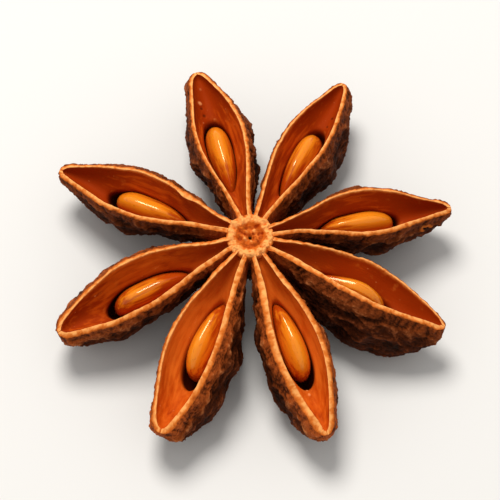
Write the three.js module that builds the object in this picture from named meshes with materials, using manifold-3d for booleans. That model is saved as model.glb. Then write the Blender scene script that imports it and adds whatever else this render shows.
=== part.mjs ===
// A dried star anise pod: a woody star of eight boat-shaped carpels round a short column, each carpel split
// open along its upper edge with one glossy seed standing on edge inside it.
//
// Frame: millimetres, +Z up. The pod rests on the keels of its carpels at z = 0, the column stands on the Z
// axis, and the open sides of the boats face up.
//
// The pod is one piece of dried fruit, so it is one solid. Each seed lies loose in its pocket, so it is a
// solid of its own.

import * as THREE from "three";
import { mergeVertices } from "three/addons/utils/BufferGeometryUtils.js";
import Module from "manifold-3d";

// ---------------------------------------------------------------- driving dimensions

// The column
const COLUMN_TOP = 8.5; // height of the ring on the column
const COLUMN_RADIUS = 1.85; // radius at the outside of the ring
const COLUMN_LUMP = 0.05; // how far the ring swells where a carpel meets it, as a share of its radius

// The carpel, whose own axis runs out from the column
const NECK_START = 1.4; // where it begins, inside the column
const NECK_HALF_WIDTH = 0.52; // half the width over its two rims at the neck
const RIM_HALF_WIDTH = 2.1; // and at its widest place
const BEAK_HALF_WIDTH = 0.62; // and just before the rounded tip
const BEAK_ROUND = 0.8; // length of the rounding at the tip
const WIDEST_LATE = 1.15; // above 1 moves the widest place towards the tip
const RIM_THICKNESS = 0.34; // the pale edge of each wall
const RIM_SLOPE = 0.04; // a rim's inner edge is this much lower than its outer edge
const RIM_WAVE = 0.05; // how far the rims wander up and down
const NECK_DEPTH = 4.4; // rim to keel at the neck
const BELLY_DEPTH = 7.1; // rim to keel at its deepest place
const BEAK_DEPTH = 1.3; // rim to keel at the tip
const BELLY_AT = 0.64; // where it is deepest, as a share of the way from neck to tip
const KEEL_HALF_WIDTH = 0.36; // half the width of the blunt keel at the belly
const SWELLING = 0.85; // how much the walls swell out below the rims
const DROOP_POWER = 2.1; // how late along the carpel the rims turn down
const BEAK_LIFT = 0.25; // how far the tip turns up again
const BEAK_LENGTH = 0.28; // the beak, as a share of the way from neck to tip
const TROUGH_DEPTH = 2.75; // the smooth hollow between the rims
const KEEL_WOOD = 0.3; // the share of a carpel's depth that is always solid under the hollow
const WRINKLE = 0.15; // height of the coarse wrinkles on the belly

// The seed, on edge under the opening
const SEED_OUT = 8.45; // its middle, measured out from the axis
const SEED_DOWN = 3.0; // and down from the rims
const SEED_HALF_LENGTH = 3.35;
const SEED_HALF_WIDTH = 1.1;
const SEED_HALF_HEIGHT = 2.1;
const SEED_PLAY = 0.34; // space all round it in its pocket
const POCKET_EXTRA = 0.55; // the pocket reaches this much further towards the tip

// The eight carpels in turn. turn is the direction in degrees from +X, reach is how far the tip is from the
// axis, droop is how far the tip is below the column's top, roll turns the open side to the right as seen
// from the axis, sweep bends the boat to the left, hook bends its beak to the left, width scales it over the
// rims, and taper draws its two ends in.
const CARPELS = [
  { turn: 13.7, reach: 17.0, droop: 3.8, roll: 9, sweep: 0.35, hook: 0.0, width: 0.98, taper: 1.8 },
  { turn: 63.2, reach: 17.3, droop: 3.9, roll: -7, sweep: 0.15, hook: 0.0, width: 0.93, taper: 1.25 },
  { turn: 104.2, reach: 16.7, droop: 3.9, roll: -3, sweep: 0.0, hook: 0.3, width: 0.98, taper: 1.25 },
  { turn: 154.2, reach: 17.4, droop: 3.8, roll: -12, sweep: 0.2, hook: 0.1, width: 0.96, taper: 1.35 },
  { turn: 204.4, reach: 17.1, droop: 3.9, roll: -11, sweep: -0.3, hook: 0.0, width: 1.02, taper: 1.2 },
  { turn: 246.5, reach: 17.3, droop: 4.0, roll: 13, sweep: -0.7, hook: -0.35, width: 1.0, taper: 1.15 },
  { turn: 291.3, reach: 17.1, droop: 3.9, roll: -3, sweep: 0.3, hook: 0.0, width: 1.0, taper: 1.2 },
  { turn: 337.8, reach: 17.1, droop: 4.0, roll: -20, sweep: 0.45, hook: 0.0, width: 1.02, taper: 1.25 },
];

// Mesh fineness
const STATIONS = 19; // cross-sections from neck to tip
const WALL_POINTS = 7; // points down the outside of one wall
const TROUGH_POINTS = 4; // points down the inside of one wall
const COLUMN_SIDES = 22;
const SEED_SIDES = 14;
const SEED_RINGS = 10;

// ---------------------------------------------------------------- small helpers

const clamp01 = (v) => Math.min(1, Math.max(0, v));
const mix = (a, b, share) => a + (b - a) * share;
const smooth = (v) => clamp01(v) ** 2 * (3 - 2 * clamp01(v));

// ---------------------------------------------------------------- the shape of one carpel

// Share of the way from neck to tip at the distance x from the axis.
const along = (carpel, x) => clamp01((x - NECK_START) / (carpel.reach - NECK_START));

// How far into the beak: 0 before it, 1 at the tip.
const beak = (u) => smooth((u - 1 + BEAK_LENGTH) / BEAK_LENGTH);

// The last stretch is rounded like a thumb: 1 before it, falling to about a third at the tip.
function tipRounding(carpel, x) {
  const past = clamp01((x - carpel.reach + BEAK_ROUND) / BEAK_ROUND);
  return Math.sqrt(1 - 0.9 * past ** 2);
}

// Half the width over the rims: narrow at the neck, widest past the middle, narrow again at the tip.
function rimHalfWidth(carpel, x) {
  const u = along(carpel, x);
  const ends = mix(NECK_HALF_WIDTH, BEAK_HALF_WIDTH, u);
  const lens = Math.sin(Math.PI * u ** WIDEST_LATE) ** carpel.taper;
  return (ends + (RIM_HALF_WIDTH * carpel.width - NECK_HALF_WIDTH) * lens) * tipRounding(carpel, x);
}

// Rim to keel: it deepens to the belly and comes up steeply to the tip. A wide carpel is also a deep one.
function keelDepth(carpel, x) {
  const u = along(carpel, x);
  const belly = BELLY_DEPTH * mix(1, carpel.width, 0.4);
  if (u < BELLY_AT) return mix(NECK_DEPTH, belly, Math.sin((Math.PI / 2) * (u / BELLY_AT)) ** 1.3);
  const past = (u - BELLY_AT) / (1 - BELLY_AT);
  return mix(BEAK_DEPTH, belly, (1 - past ** 1.8) ** 0.9) * tipRounding(carpel, x);
}

// How far the rims lie below the column's top, and how they wander.
function rimDrop(carpel, x) {
  const share = x / carpel.reach;
  const wander = RIM_WAVE * (Math.sin(1.3 * x + carpel.turn) + Math.sin(2.1 * x + 2 * carpel.turn));
  return carpel.droop * share ** DROOP_POWER - BEAK_LIFT * beak(along(carpel, x)) + wander;
}

// The outside of a wall from the rim (q = 0) down to the keel (q = 1), as a share of the rim's half width.
const wallOutline = (q) => (1 + SWELLING * q) * (1 - q ** 2.2) ** 0.75;

// Coarse wrinkles that run slantwise over the belly and fade out at the rims, the keel and the neck.
function wrinkle(carpel, x, side, q) {
  const fade = smooth((q - 0.12) / 0.3) * smooth((1 - q) / 0.15) * smooth((x - 3) / 3);
  const start = carpel.turn * 0.7 + side * 1.9;
  const long = 0.7 * Math.sin(0.85 * x - 6.3 * q + 2.3 * start);
  const middling = Math.sin(1.55 * x + 3.1 * q + start);
  const short = 0.5 * Math.sin(2.3 * x + 9 * q + 1.3 * start);
  return WRINKLE * fade * (long + middling + short);
}

// How far below the rims the hollow lies at the share across (0 in the middle, 1 or -1 at a rim).
function troughDepth(carpel, x, across) {
  const u = along(carpel, x);
  const deep = Math.sin(Math.PI * clamp01(0.06 + 0.9 * u) ** 1.05) ** 0.9;
  return TROUGH_DEPTH * deep * Math.sqrt(1 - across ** 2) * tipRounding(carpel, x);
}

// Carries a point of a straight, level carpel to its place on the pod. x runs out from the axis, y to the
// left and z up from the rims. Nothing goes below the table, so the bellies that touch it are worn flat.
function place(carpel, x, y, z) {
  const u = along(carpel, x);
  const turn = THREE.MathUtils.degToRad(carpel.turn);
  const roll = THREE.MathUtils.degToRad(carpel.roll) * smooth(u / 0.4);
  const bend = carpel.sweep * Math.sin(Math.PI * u) + carpel.hook * beak(u);
  const left = y * Math.cos(roll) - z * Math.sin(roll) + bend;
  const up = y * Math.sin(roll) + z * Math.cos(roll) - rimDrop(carpel, x);
  return new THREE.Vector3(
    x * Math.cos(turn) - left * Math.sin(turn),
    x * Math.sin(turn) + left * Math.cos(turn),
    Math.max(0, COLUMN_TOP + up),
  );
}

// One cross-section as a closed ring of points: up the left wall from the keel, over its rim, down into the
// hollow, over the other rim and down the right wall.
function section(carpel, x) {
  const half = rimHalfWidth(carpel, x);
  const depth = keelDepth(carpel, x);
  const inner = Math.max(half / 3, half - RIM_THICKNESS);
  const inside = (across) => {
    const down = Math.min(troughDepth(carpel, x, across), depth * (1 - KEEL_WOOD));
    return [inner * across, -down - RIM_SLOPE];
  };
  const wall = (side) =>
    Array.from({ length: WALL_POINTS }, (_, i) => {
      const q = 1 - (i / (WALL_POINTS - 1)) ** 1.15;
      const out = wallOutline(q) + (KEEL_HALF_WIDTH * q ** 3 + wrinkle(carpel, x, side, q)) / RIM_HALF_WIDTH;
      return [side * half * out, -depth * q];
    });
  const hollow = Array.from({ length: 2 * TROUGH_POINTS + 1 }, (_, i) =>
    inside(Math.cos((Math.PI / 2) * (i / TROUGH_POINTS))),
  );
  return [...wall(1), ...hollow, ...wall(-1).reverse()].map(([y, z]) => place(carpel, x, y, z));
}

// The closed skin of one carpel: its cross-sections joined in turn, with a fan over each end.
function carpelGeometry(carpel) {
  const rings = Array.from({ length: STATIONS }, (_, i) => {
    const share = i / (STATIONS - 1);
    return section(carpel, mix(NECK_START, carpel.reach, Math.sin((Math.PI / 2) * share ** 0.95)));
  });
  const count = rings[0].length;
  const points = rings.flat();
  const triangles = [];
  for (let i = 0; i < STATIONS - 1; i++) {
    for (let j = 0; j < count; j++) {
      const a = i * count + j;
      const b = i * count + ((j + 1) % count);
      triangles.push(a, b, a + count, b, b + count, a + count);
    }
  }
  for (const end of [0, STATIONS - 1]) {
    const middle = rings[end].reduce((total, p) => total.add(p), new THREE.Vector3()).divideScalar(count);
    points.push(middle);
    for (let j = 0; j < count; j++) {
      const edge = [end * count + j, end * count + ((j + 1) % count)];
      if (end === 0) edge.reverse();
      triangles.push(points.length - 1, ...edge);
    }
  }
  const geometry = new THREE.BufferGeometry().setFromPoints(points);
  geometry.setIndex(triangles);
  return geometry;
}

// ---------------------------------------------------------------- seeds and column

// A seed: a flattened egg on its edge, rounder towards the tip and drawn out towards the column. grown makes
// it larger all round, and longer makes it reach further towards the tip: that is the shape of its pocket.
function seedGeometry(carpel, grown = 0, longer = 0) {
  const geometry = new THREE.SphereGeometry(1, SEED_SIDES, SEED_RINGS);
  geometry.rotateZ(-Math.PI / 2);
  const position = geometry.getAttribute("position");
  for (let i = 0; i < position.count; i++) {
    const out = position.getX(i);
    const fullness = 1 + 0.16 * out;
    const x = SEED_OUT + longer / 2 + (SEED_HALF_LENGTH + grown + longer / 2) * out;
    const y = (SEED_HALF_WIDTH + grown) * fullness * position.getY(i);
    const z = (SEED_HALF_HEIGHT + grown) * fullness * position.getZ(i) - SEED_DOWN;
    position.setXYZ(i, ...place(carpel, x, y, z).toArray());
  }
  return geometry;
}

// The column: a raised ring round a shallow dish with a pit, a waist, and the broken end of the stalk below.
// Each pair is a radius and a height from the ring.
const COLUMN_PROFILE = [
  [0, -0.62],
  [0.14, -0.55],
  [0.26, -0.3],
  [0.72, -0.4],
  [1.06, -0.34],
  [1.28, -0.02],
  [1.52, 0.1],
  [COLUMN_RADIUS - 0.08, -0.02],
  [COLUMN_RADIUS, -0.45],
  [COLUMN_RADIUS - 0.15, -1.6],
  [COLUMN_RADIUS - 0.2, -3.2],
  [COLUMN_RADIUS - 0.05, -4.6],
  [COLUMN_RADIUS - 0.4, -5.4],
  [1.0, -5.85],
  [0.82, -6.6],
  [0.86, -7.25],
  [0.6, -7.45],
  [0, -7.3],
];

function columnGeometry() {
  const outline = COLUMN_PROFILE.map(([radius, z]) => new THREE.Vector2(radius, COLUMN_TOP + z)).reverse();
  const geometry = new THREE.LatheGeometry(outline, COLUMN_SIDES);
  geometry.rotateX(Math.PI / 2);
  const firstTurn = THREE.MathUtils.degToRad(CARPELS[0].turn);
  const position = geometry.getAttribute("position");
  for (let i = 0; i < position.count; i++) {
    const angle = Math.atan2(position.getY(i), position.getX(i)) - firstTurn;
    const radius = Math.hypot(position.getX(i), position.getY(i));
    const swell = Math.cos(CARPELS.length * angle) + 0.6 * Math.sin(5 * angle);
    const lump = 1 + COLUMN_LUMP * smooth((radius - 1) / 0.5) * swell;
    position.setX(i, position.getX(i) * lump);
    position.setY(i, position.getY(i) * lump);
  }
  return geometry;
}

// ---------------------------------------------------------------- joining and cutting

const wasm = await Module();
wasm.setup();

// A three.js geometry as a solid that can be joined and cut.
function solidOf(geometry) {
  const bare = geometry.clone();
  bare.deleteAttribute("normal");
  bare.deleteAttribute("uv");
  const merged = mergeVertices(bare, 1e-4);
  return new wasm.Manifold(
    new wasm.Mesh({
      numProp: 3,
      vertProperties: new Float32Array(merged.attributes.position.array),
      triVerts: new Uint32Array(merged.index.array),
    }),
  );
}

function geometryOf(solid) {
  const mesh = solid.getMesh();
  const geometry = new THREE.BufferGeometry();
  geometry.setAttribute("position", new THREE.BufferAttribute(new Float32Array(mesh.vertProperties), 3));
  geometry.setIndex(new THREE.BufferAttribute(new Uint32Array(mesh.triVerts), 1));
  geometry.computeVertexNormals();
  return geometry;
}

// The column and all carpels in one piece, with a pocket sunk into each carpel for its seed.
function podGeometry() {
  let solid = solidOf(columnGeometry());
  for (const carpel of CARPELS) solid = solid.add(solidOf(carpelGeometry(carpel)));
  for (const carpel of CARPELS) {
    const pocket = seedGeometry(carpel, SEED_PLAY, POCKET_EXTRA);
    solid = solid.subtract(solidOf(pocket));
  }
  return geometryOf(solid);
}

// ---------------------------------------------------------------- the model

const husk = new THREE.MeshStandardMaterial({ color: 0x7a3c17, roughness: 0.75, metalness: 0 });
const seedCoat = new THREE.MeshStandardMaterial({ color: 0xb5591c, roughness: 0.2, metalness: 0 });

const starAnise = new THREE.Group();

const pod = new THREE.Mesh(podGeometry(), husk);
pod.name = "pod";
starAnise.add(pod);

CARPELS.forEach((carpel, i) => {
  const seed = new THREE.Mesh(seedGeometry(carpel), seedCoat);
  seed.name = `seed_${i + 1}`;
  starAnise.add(seed);
});

export default starAnise;
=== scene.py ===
# %% [markdown]
# # A dried star anise pod
# Star anise is a fruit that dries into a woody star. Eight boat-shaped husks, the carpels, grow round a
# short column. Each has split open along its upper edge, and one glossy seed stands on edge inside it.
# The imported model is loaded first. It says where every piece is and how big the whole pod is.

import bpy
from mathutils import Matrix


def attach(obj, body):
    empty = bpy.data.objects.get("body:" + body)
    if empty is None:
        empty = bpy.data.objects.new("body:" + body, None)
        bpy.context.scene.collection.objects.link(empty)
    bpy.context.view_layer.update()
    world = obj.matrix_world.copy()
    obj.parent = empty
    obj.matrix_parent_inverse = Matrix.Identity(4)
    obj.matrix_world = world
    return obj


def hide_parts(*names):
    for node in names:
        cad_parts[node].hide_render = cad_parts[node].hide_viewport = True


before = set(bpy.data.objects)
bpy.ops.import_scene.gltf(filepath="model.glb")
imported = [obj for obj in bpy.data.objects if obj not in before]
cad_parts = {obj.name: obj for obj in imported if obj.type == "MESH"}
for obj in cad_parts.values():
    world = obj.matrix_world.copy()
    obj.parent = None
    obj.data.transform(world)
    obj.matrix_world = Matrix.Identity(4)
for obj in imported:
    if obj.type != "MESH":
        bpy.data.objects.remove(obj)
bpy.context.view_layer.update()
print("solids in the frame:", sorted(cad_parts))

# %% Tools for the whole lesson
import math

import bmesh
import bpy
import numpy as np
from mathutils import Vector, noise

MM = 0.001  # the sizes below are in millimetres, and Blender works in metres


def clamp01(v):
    return np.clip(v, 0.0, 1.0)


def mix(a, b, share):
    """a where share is 0 and b where it is 1."""
    return a + (b - a) * share


def smooth(v):
    """Follows v from 0 to 1, with a soft start and a soft end."""
    return clamp01(v) ** 2 * (3 - 2 * clamp01(v))


def hump(away, width):
    """1 where away is 0, falling softly to nothing about two widths away."""
    return np.exp(-((away / width) ** 2))


# %% [markdown]
# ## The numbers of one carpel
# A carpel is easiest to describe while it is straight and level: x runs out from the column, y to the left
# and z up from the rims. Its width over the rims and its depth to the keel change along x. Most of the
# numbers are those that shape the solid model, so each piece made here lands where its solid is.

# %% Sizes of a carpel
NECK_START = 1.4  # where it begins, inside the column
NECK_HALF_WIDTH, RIM_HALF_WIDTH = 0.52, 2.1
NECK_DEPTH, BELLY_DEPTH, BEAK_DEPTH = 4.4, 7.1, 1.3
BELLY_AT = 0.64  # where it is deepest, as a share of the way to the tip
BEAK_LENGTH = 0.28  # the beak, as a share of the whole length
BEAK_ROUND = 0.8  # length of the rounded tip
WIDEST_LATE = 1.15  # above 1 the widest place lies past the middle
KEEL_RISE = 1.3  # above 1 the keel deepens late
KEEL_FALL, KEEL_BEND = 1.8, 0.9  # how long the keel stays deep, and how roundly it then comes up
DEEP_WITH_WIDTH = 0.4  # how far a wide carpel is a deep one too
RIM_THICKNESS = 0.34
TROUGH_DEPTH = 2.75  # the smooth hollow between the rims
TROUGH_FROM, TROUGH_SPAN = 0.06, 0.9  # the part of a full arch that its floor follows
KEEL_WOOD = 0.3  # share of the depth that is always wood under the hollow
HOLLOW_END, HOLLOW_ROUND = 0.32, 0.9  # it stops this far before the tip, and is rounded over this length
TIP_CLOSED, HOLLOW_CLOSED = 0.9, 0.998  # how nearly the tip and the hollow end in a point, which is 1

# %% Width and depth along a carpel


def along(carpel, x):
    """0 where the carpel begins and 1 at its tip."""
    return clamp01((x - NECK_START) / (carpel["reach"] - NECK_START))


def beak(u):
    """0 on the body, growing to 1 at the tip of the beak."""
    return smooth((u - 1 + BEAK_LENGTH) / BEAK_LENGTH)


def tip_rounding(carpel, x):
    past = clamp01((x - carpel["reach"] + BEAK_ROUND) / BEAK_ROUND)
    return np.sqrt(1 - TIP_CLOSED * past**2)


def hollow_rounding(carpel, x):
    past = clamp01((x - carpel["reach"] + HOLLOW_END + HOLLOW_ROUND) / HOLLOW_ROUND)
    return np.sqrt(1 - HOLLOW_CLOSED * past**2)


def full_half_width(carpel, x):
    u = along(carpel, x)
    ends = mix(NECK_HALF_WIDTH, carpel["blunt"], u)
    lens = np.sin(np.pi * np.minimum(u, 0.99999) ** WIDEST_LATE) ** carpel["taper"]
    return ends + (RIM_HALF_WIDTH * carpel["width"] - NECK_HALF_WIDTH) * lens


def rim_half_width(carpel, x):
    return full_half_width(carpel, x) * tip_rounding(carpel, x)


def keel_depth(carpel, x):
    u = along(carpel, x)
    belly = BELLY_DEPTH * mix(1, carpel["width"], DEEP_WITH_WIDTH)
    rising = np.sin(np.pi / 2 * np.minimum(u / BELLY_AT, 1)) ** KEEL_RISE
    past = clamp01((u - BELLY_AT) / (1 - BELLY_AT))
    falling = (1 - past**KEEL_FALL) ** KEEL_BEND
    to_belly = mix(NECK_DEPTH, belly, rising)
    to_tip = mix(BEAK_DEPTH, belly, falling) * tip_rounding(carpel, x)
    return np.where(u < BELLY_AT, to_belly, to_tip)


def trough_half_width(carpel, x):
    half = full_half_width(carpel, x)
    return np.maximum(half / 3, half - RIM_THICKNESS) * hollow_rounding(carpel, x)


def trough_depth(carpel, x):
    arch = clamp01(TROUGH_FROM + TROUGH_SPAN * along(carpel, x))
    deep = np.sin(np.pi * arch**1.05) ** 0.9
    limit = keel_depth(carpel, x) * (1 - KEEL_WOOD)
    return np.minimum(TROUGH_DEPTH * deep * hollow_rounding(carpel, x), limit)


# %% [markdown]
# No two carpels of a pod are alike. turn is the direction each one grows in, reach its length, droop how
# far its tip hangs below the column, roll how far its open side leans over, sweep and hook how it bends
# sideways, width its fullness and taper how much its ends draw in. lean says how far its seed lies off the
# middle, shift how far out, tone how light the husk is inside, partly its own colour and partly
# painted light and shade, and blunt half the width of its tip. left_lip and right_lip are how far the lips of
# its rims reach in over the hollow, below 0 where they draw back. glow is how light its seed is,
# partly its own colour and partly painted light and shade, and dusk how far painted shade darkens its neck
# inside.

# %% The eight carpels
NAMES = (
    "turn", "reach", "droop", "roll", "sweep", "hook", "width", "taper", "lean", "shift", "tone", "blunt",
    "left_lip", "right_lip", "glow", "dusk",
)
CARPELS = [
    dict(zip(NAMES, numbers))
    for numbers in (
        (13.7, 17.0, 3.8, 9, 0.35, 0.0, 0.98, 1.8, -0.45, 0.25, 0.1, 0.6, -0.04, 0.1, 0.1, 1.0),
        (63.2, 17.3, 3.9, -7, 0.15, 0.0, 0.93, 1.25, 0.0, 0.15, 0.25, 0.58, -0.02, 0.02, -0.3, 0.3),
        (104.2, 17.1, 3.9, -3, 0.0, 0.3, 0.98, 1.25, 0.26, 0.02, 0.27, 0.72, -0.02, 0.03, 0.0, 0.3),
        (154.2, 17.4, 3.8, -12, 0.2, 0.1, 0.96, 1.35, 0.5, 0.15, 0.2, 0.62, 0.1, -0.03, 0.15, 1.0),
        (204.4, 17.1, 3.9, -11, -0.3, 0.0, 1.02, 1.2, 0.55, 0.05, 0.5, 0.8, 0.12, -0.05, -0.9, 0.9),
        (246.5, 17.3, 4.0, 13, -0.7, -0.35, 1.0, 1.15, 0.1, -0.15, 1.0, 0.92, 0.12, -0.03, 0.0, 0.8),
        (291.3, 17.1, 3.9, -3, 0.3, 0.0, 1.0, 1.2, 0.0, -0.18, 1.0, 0.72, 0.16, 0.3, 0.15, 0.5),
        (337.8, 17.1, 4.0, -20, 0.45, 0.0, 1.02, 1.25, -0.1, 0.1, -0.1, 0.62, -0.05, 0.12, -0.4, 1.0),
    )
]
# The pattern is the one that is modelled: straight, even and of middle size.
PATTERN = dict(zip(NAMES, (0.0, 17.2, 3.9, 0, 0.0, 0.0, 1.0, 1.25, 0.0, 0.0, 0.5, 0.7, 0.0, 0.0, 0.0, 1.0)))

# %% From a straight carpel to its place
COLUMN_TOP = 8.5  # height of the rims at the column
DROOP_POWER = 2.1  # how late along the carpel the rims turn down
BEAK_LIFT = 0.25  # how far the tip turns up again
RIM_WAVE = 0.05  # how far the rims wander up and down
ROLLED_BY = 0.4  # the share of its length by which a carpel has rolled over fully


def rim_drop(carpel, x):
    """How far the rims lie below the top of the column."""
    wander = np.sin(1.3 * x + carpel["turn"]) + np.sin(2.1 * x + 2 * carpel["turn"])
    droop = carpel["droop"] * (x / carpel["reach"]) ** DROOP_POWER
    return droop - BEAK_LIFT * beak(along(carpel, x)) + RIM_WAVE * wander


def carry(carpel, x, y, z):
    """Points of a straight, level carpel, at their place on the pod. Nothing sinks below the table."""
    u, turn = along(carpel, x), math.radians(carpel["turn"])
    roll = math.radians(carpel["roll"]) * smooth(u / ROLLED_BY)
    bend = carpel["sweep"] * np.sin(np.pi * u) + carpel["hook"] * beak(u)
    left = y * np.cos(roll) - z * np.sin(roll) + bend
    up = y * np.sin(roll) + z * np.cos(roll) - rim_drop(carpel, x)
    out_x = x * math.cos(turn) - left * math.sin(turn)
    out_y = x * math.sin(turn) + left * math.cos(turn)
    return np.column_stack((out_x, out_y, np.maximum(0, COLUMN_TOP + up)))


for carpel in CARPELS:
    tip = carry(carpel, np.array([carpel["reach"]]), np.zeros(1), np.zeros(1))[0]
    print("a tip at", tip.round(2), "mm")

# %% [markdown]
# ## Small helpers for modelling
# An operator works on whatever is selected. These helpers clear the selection, start and stop edit mode,
# and pick vertices by their place, so each step acts only on what it should.

# %% Selecting and editing


def select_only(piece):
    bpy.ops.object.select_all(action="DESELECT")
    piece.select_set(True)
    bpy.context.view_layer.objects.active = piece


def edit(piece):
    """Opens piece in edit mode, with all of it selected and nothing else."""
    select_only(piece)
    bpy.ops.object.mode_set(mode="EDIT")
    bpy.ops.mesh.select_mode(type="VERT")
    bpy.ops.mesh.select_all(action="SELECT")


def done():
    bpy.ops.object.mode_set(mode="OBJECT")


def pick(piece, wanted):
    """In edit mode, selects the vertices that wanted says yes to."""
    mesh = bmesh.from_edit_mesh(piece.data)
    for vertex in mesh.verts:
        vertex.select = bool(wanted(vertex))
    mesh.select_flush_mode()
    bmesh.update_edit_mesh(piece.data)


def settle(piece):
    """Writes the object's place, turn and size into its mesh."""
    select_only(piece)
    bpy.ops.object.transform_apply(location=True, rotation=True, scale=True)


def finish_with(piece, kind, **settings):
    """Adds a modifier, sets it up and applies it."""
    modifier = piece.modifiers.new(kind.title(), kind)
    for name, value in settings.items():
        setattr(modifier, name, value)
    select_only(piece)
    bpy.ops.object.modifier_apply(modifier=modifier.name)


def copy_of(pattern, name):
    """A copy of the pattern with a mesh of its own."""
    select_only(pattern)
    bpy.ops.object.duplicate(linked=False)
    made = bpy.context.object
    made.name = made.data.name = name
    return made


# %% Reading and writing a mesh


def points_of(piece):
    """The mesh's points in millimetres, as an array of rows."""
    flat = np.empty(len(piece.data.vertices) * 3)
    piece.data.vertices.foreach_get("co", flat)
    return flat.reshape(-1, 3) / MM


def normals_of(piece):
    flat = np.empty(len(piece.data.vertices) * 3)
    piece.data.vertices.foreach_get("normal", flat)
    return flat.reshape(-1, 3)


def put_points(piece, points):
    piece.data.vertices.foreach_set("co", (points * MM).ravel())
    piece.data.update()


def report(piece):
    faces = sum(len(face.vertices) - 2 for face in piece.data.polygons)
    print(f"{piece.name}: {faces} triangles")


# %% [markdown]
# ## A profile that is spun
# The seed and the column are round things, so they can be turned as on a lathe. One vertex is pulled out
# point by point into a profile, like a bent wire, and the Spin tool sweeps the wire round an axis.

# %% Spinning a wire
SAME_PLACE = 0.002  # points closer than this are merged


def spun(name, wire, steps, axis, centre):
    """Pulls a wire through the points in wire, in millimetres, and spins it once round the axis."""
    bpy.ops.object.select_all(action="DESELECT")
    first = Vector(wire[0]) * MM
    bpy.ops.mesh.primitive_plane_add(size=MM, location=first)
    piece = bpy.context.object
    piece.name = piece.data.name = name
    settle(piece)
    edit(piece)
    bpy.ops.mesh.merge(type="CENTER")
    for start, end in zip(wire, wire[1:]):
        move = (Vector(end) - Vector(start)) * MM
        bpy.ops.mesh.extrude_region_move(TRANSFORM_OT_translate={"value": move})
    bpy.ops.mesh.select_all(action="SELECT")
    bpy.ops.mesh.spin(steps=steps, angle=math.tau, center=Vector(centre) * MM, axis=axis)
    bpy.ops.mesh.select_all(action="SELECT")
    bpy.ops.mesh.remove_doubles(threshold=SAME_PLACE * MM)
    bpy.ops.mesh.normals_make_consistent(inside=False)
    done()
    return piece


# %% [markdown]
# ## One seed
# The seed is a smooth flattened drop, full and blunt towards the tip of its carpel and drawn out towards the
# column. Its profile is spun round its long axis, and then the whole drop is squeezed flat with one resize.
# A sphere primitive could be squeezed as well, but a spun profile gives each end a form of its own.

# %% The shape of a seed
SEED_OUT, SEED_DOWN = 8.4, 3.0  # its middle: out from the axis, and down from the rims
SEED_HALF_LENGTH, SEED_HALF_WIDTH, SEED_HALF_HEIGHT = 3.5, 1.04, 2.07
BLUNT = 0.8  # below 1 an end is blunter than a ball's
DRAWN_OUT = 0.9  # how far its inner end is drawn out to a point
FULLER = 0.28  # how much of its thickness moves to its outer half


def egg(name, grown=(0, 0, 0), longer=0.0, steps=28, rings=18):
    """A seed, or with other numbers the hollow that it lies in: grown is along, across and down."""
    wire = []
    middle, level = SEED_OUT + longer / 2, -SEED_DOWN
    half_length = SEED_HALF_LENGTH + grown[0] + longer / 2
    for angle in np.linspace(math.pi, 0, rings + 1):
        out = math.cos(angle)
        power = BLUNT if out > 0 else BLUNT + DRAWN_OUT * out * out
        thick = math.sin(angle) ** power * (1 + FULLER * out)
        wire.append((middle + half_length * out, 0, thick + level))
    piece = spun(name, wire, steps, axis=(1, 0, 0), centre=(0, 0, level))
    edit(piece)
    bpy.ops.transform.resize(
        value=(1, SEED_HALF_WIDTH + grown[1], SEED_HALF_HEIGHT + grown[2]),
        center_override=(0, 0, level * MM),
    )
    done()
    return piece


seed_pattern = egg("seed_pattern")
report(seed_pattern)

# %% [markdown]
# The real seed has a fine raised seam along its upper edge and a small scar at its inner end, where it hung
# on its stalk. The seam's vertices are picked by their place and lifted, and the point at the inner end is
# pressed in. A Subdivision Surface then rounds everything off.

# %% Seam and scar
SEAM_LIFT, SEAM_END = 0.05, 2.6  # its height, and how far past the seed's middle it runs
SCAR_DEPTH = 0.22
NEAR = 0.02  # a point this close counts as being there


def on_the_seam(vertex):
    x, y, z = vertex.co / MM
    return abs(y) < NEAR and z > -SEED_DOWN + 0.5 and x < SEED_OUT + SEAM_END


def at_the_scar(vertex):
    return vertex.co.x / MM < SEED_OUT - SEED_HALF_LENGTH + NEAR


edit(seed_pattern)
pick(seed_pattern, on_the_seam)
bpy.ops.transform.translate(value=(0, 0, SEAM_LIFT * MM))
pick(seed_pattern, at_the_scar)
bpy.ops.transform.translate(value=(SCAR_DEPTH * MM, 0, 0))
done()
finish_with(seed_pattern, "SUBSURF", levels=2, render_levels=2)
report(seed_pattern)

# %% [markdown]
# ## One carpel, as a gutter
# The husk wall is thin at its rim and thick at its keel, so it is modelled as one closed loop: up the
# outside of one wall, over the rim, through the hollow, over the other rim and down again. The loop starts
# as a circle whose vertices are moved onto that outline at a size of one. It is then extruded along the
# carpel, which gives a straight gutter. A lofted curve could do this too, but extruded rings keep even faces.

# %% The outline of one section
SWELLING = 0.85  # how much the walls swell out below the rims
CLOSE_LATE, CLOSE_ROUND = 2.2, 0.75  # how late and how roundly they close to the keel
KEEL_HALF_WIDTH = 0.36
WALL_STEPS = (1, 0.95, 0.87, 0.76, 0.64, 0.52, 0.4, 0.3, 0.2, 0.12, 0.05, 0.015, 0)  # from keel to rim
HOLLOW_STEPS = (1, 0.96, 0.86, 0.72, 0.56, 0.38, 0.19)  # 1 is the rim and 0 the middle of the floor


def wall_outline(q):
    """How far out the wall is at depth q, where the rim is 1 out and the keel 1 down."""
    closing = (1 - q**CLOSE_LATE) ** CLOSE_ROUND
    return (1 + SWELLING * q) * closing + KEEL_HALF_WIDTH * q**3 / RIM_HALF_WIDTH


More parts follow.
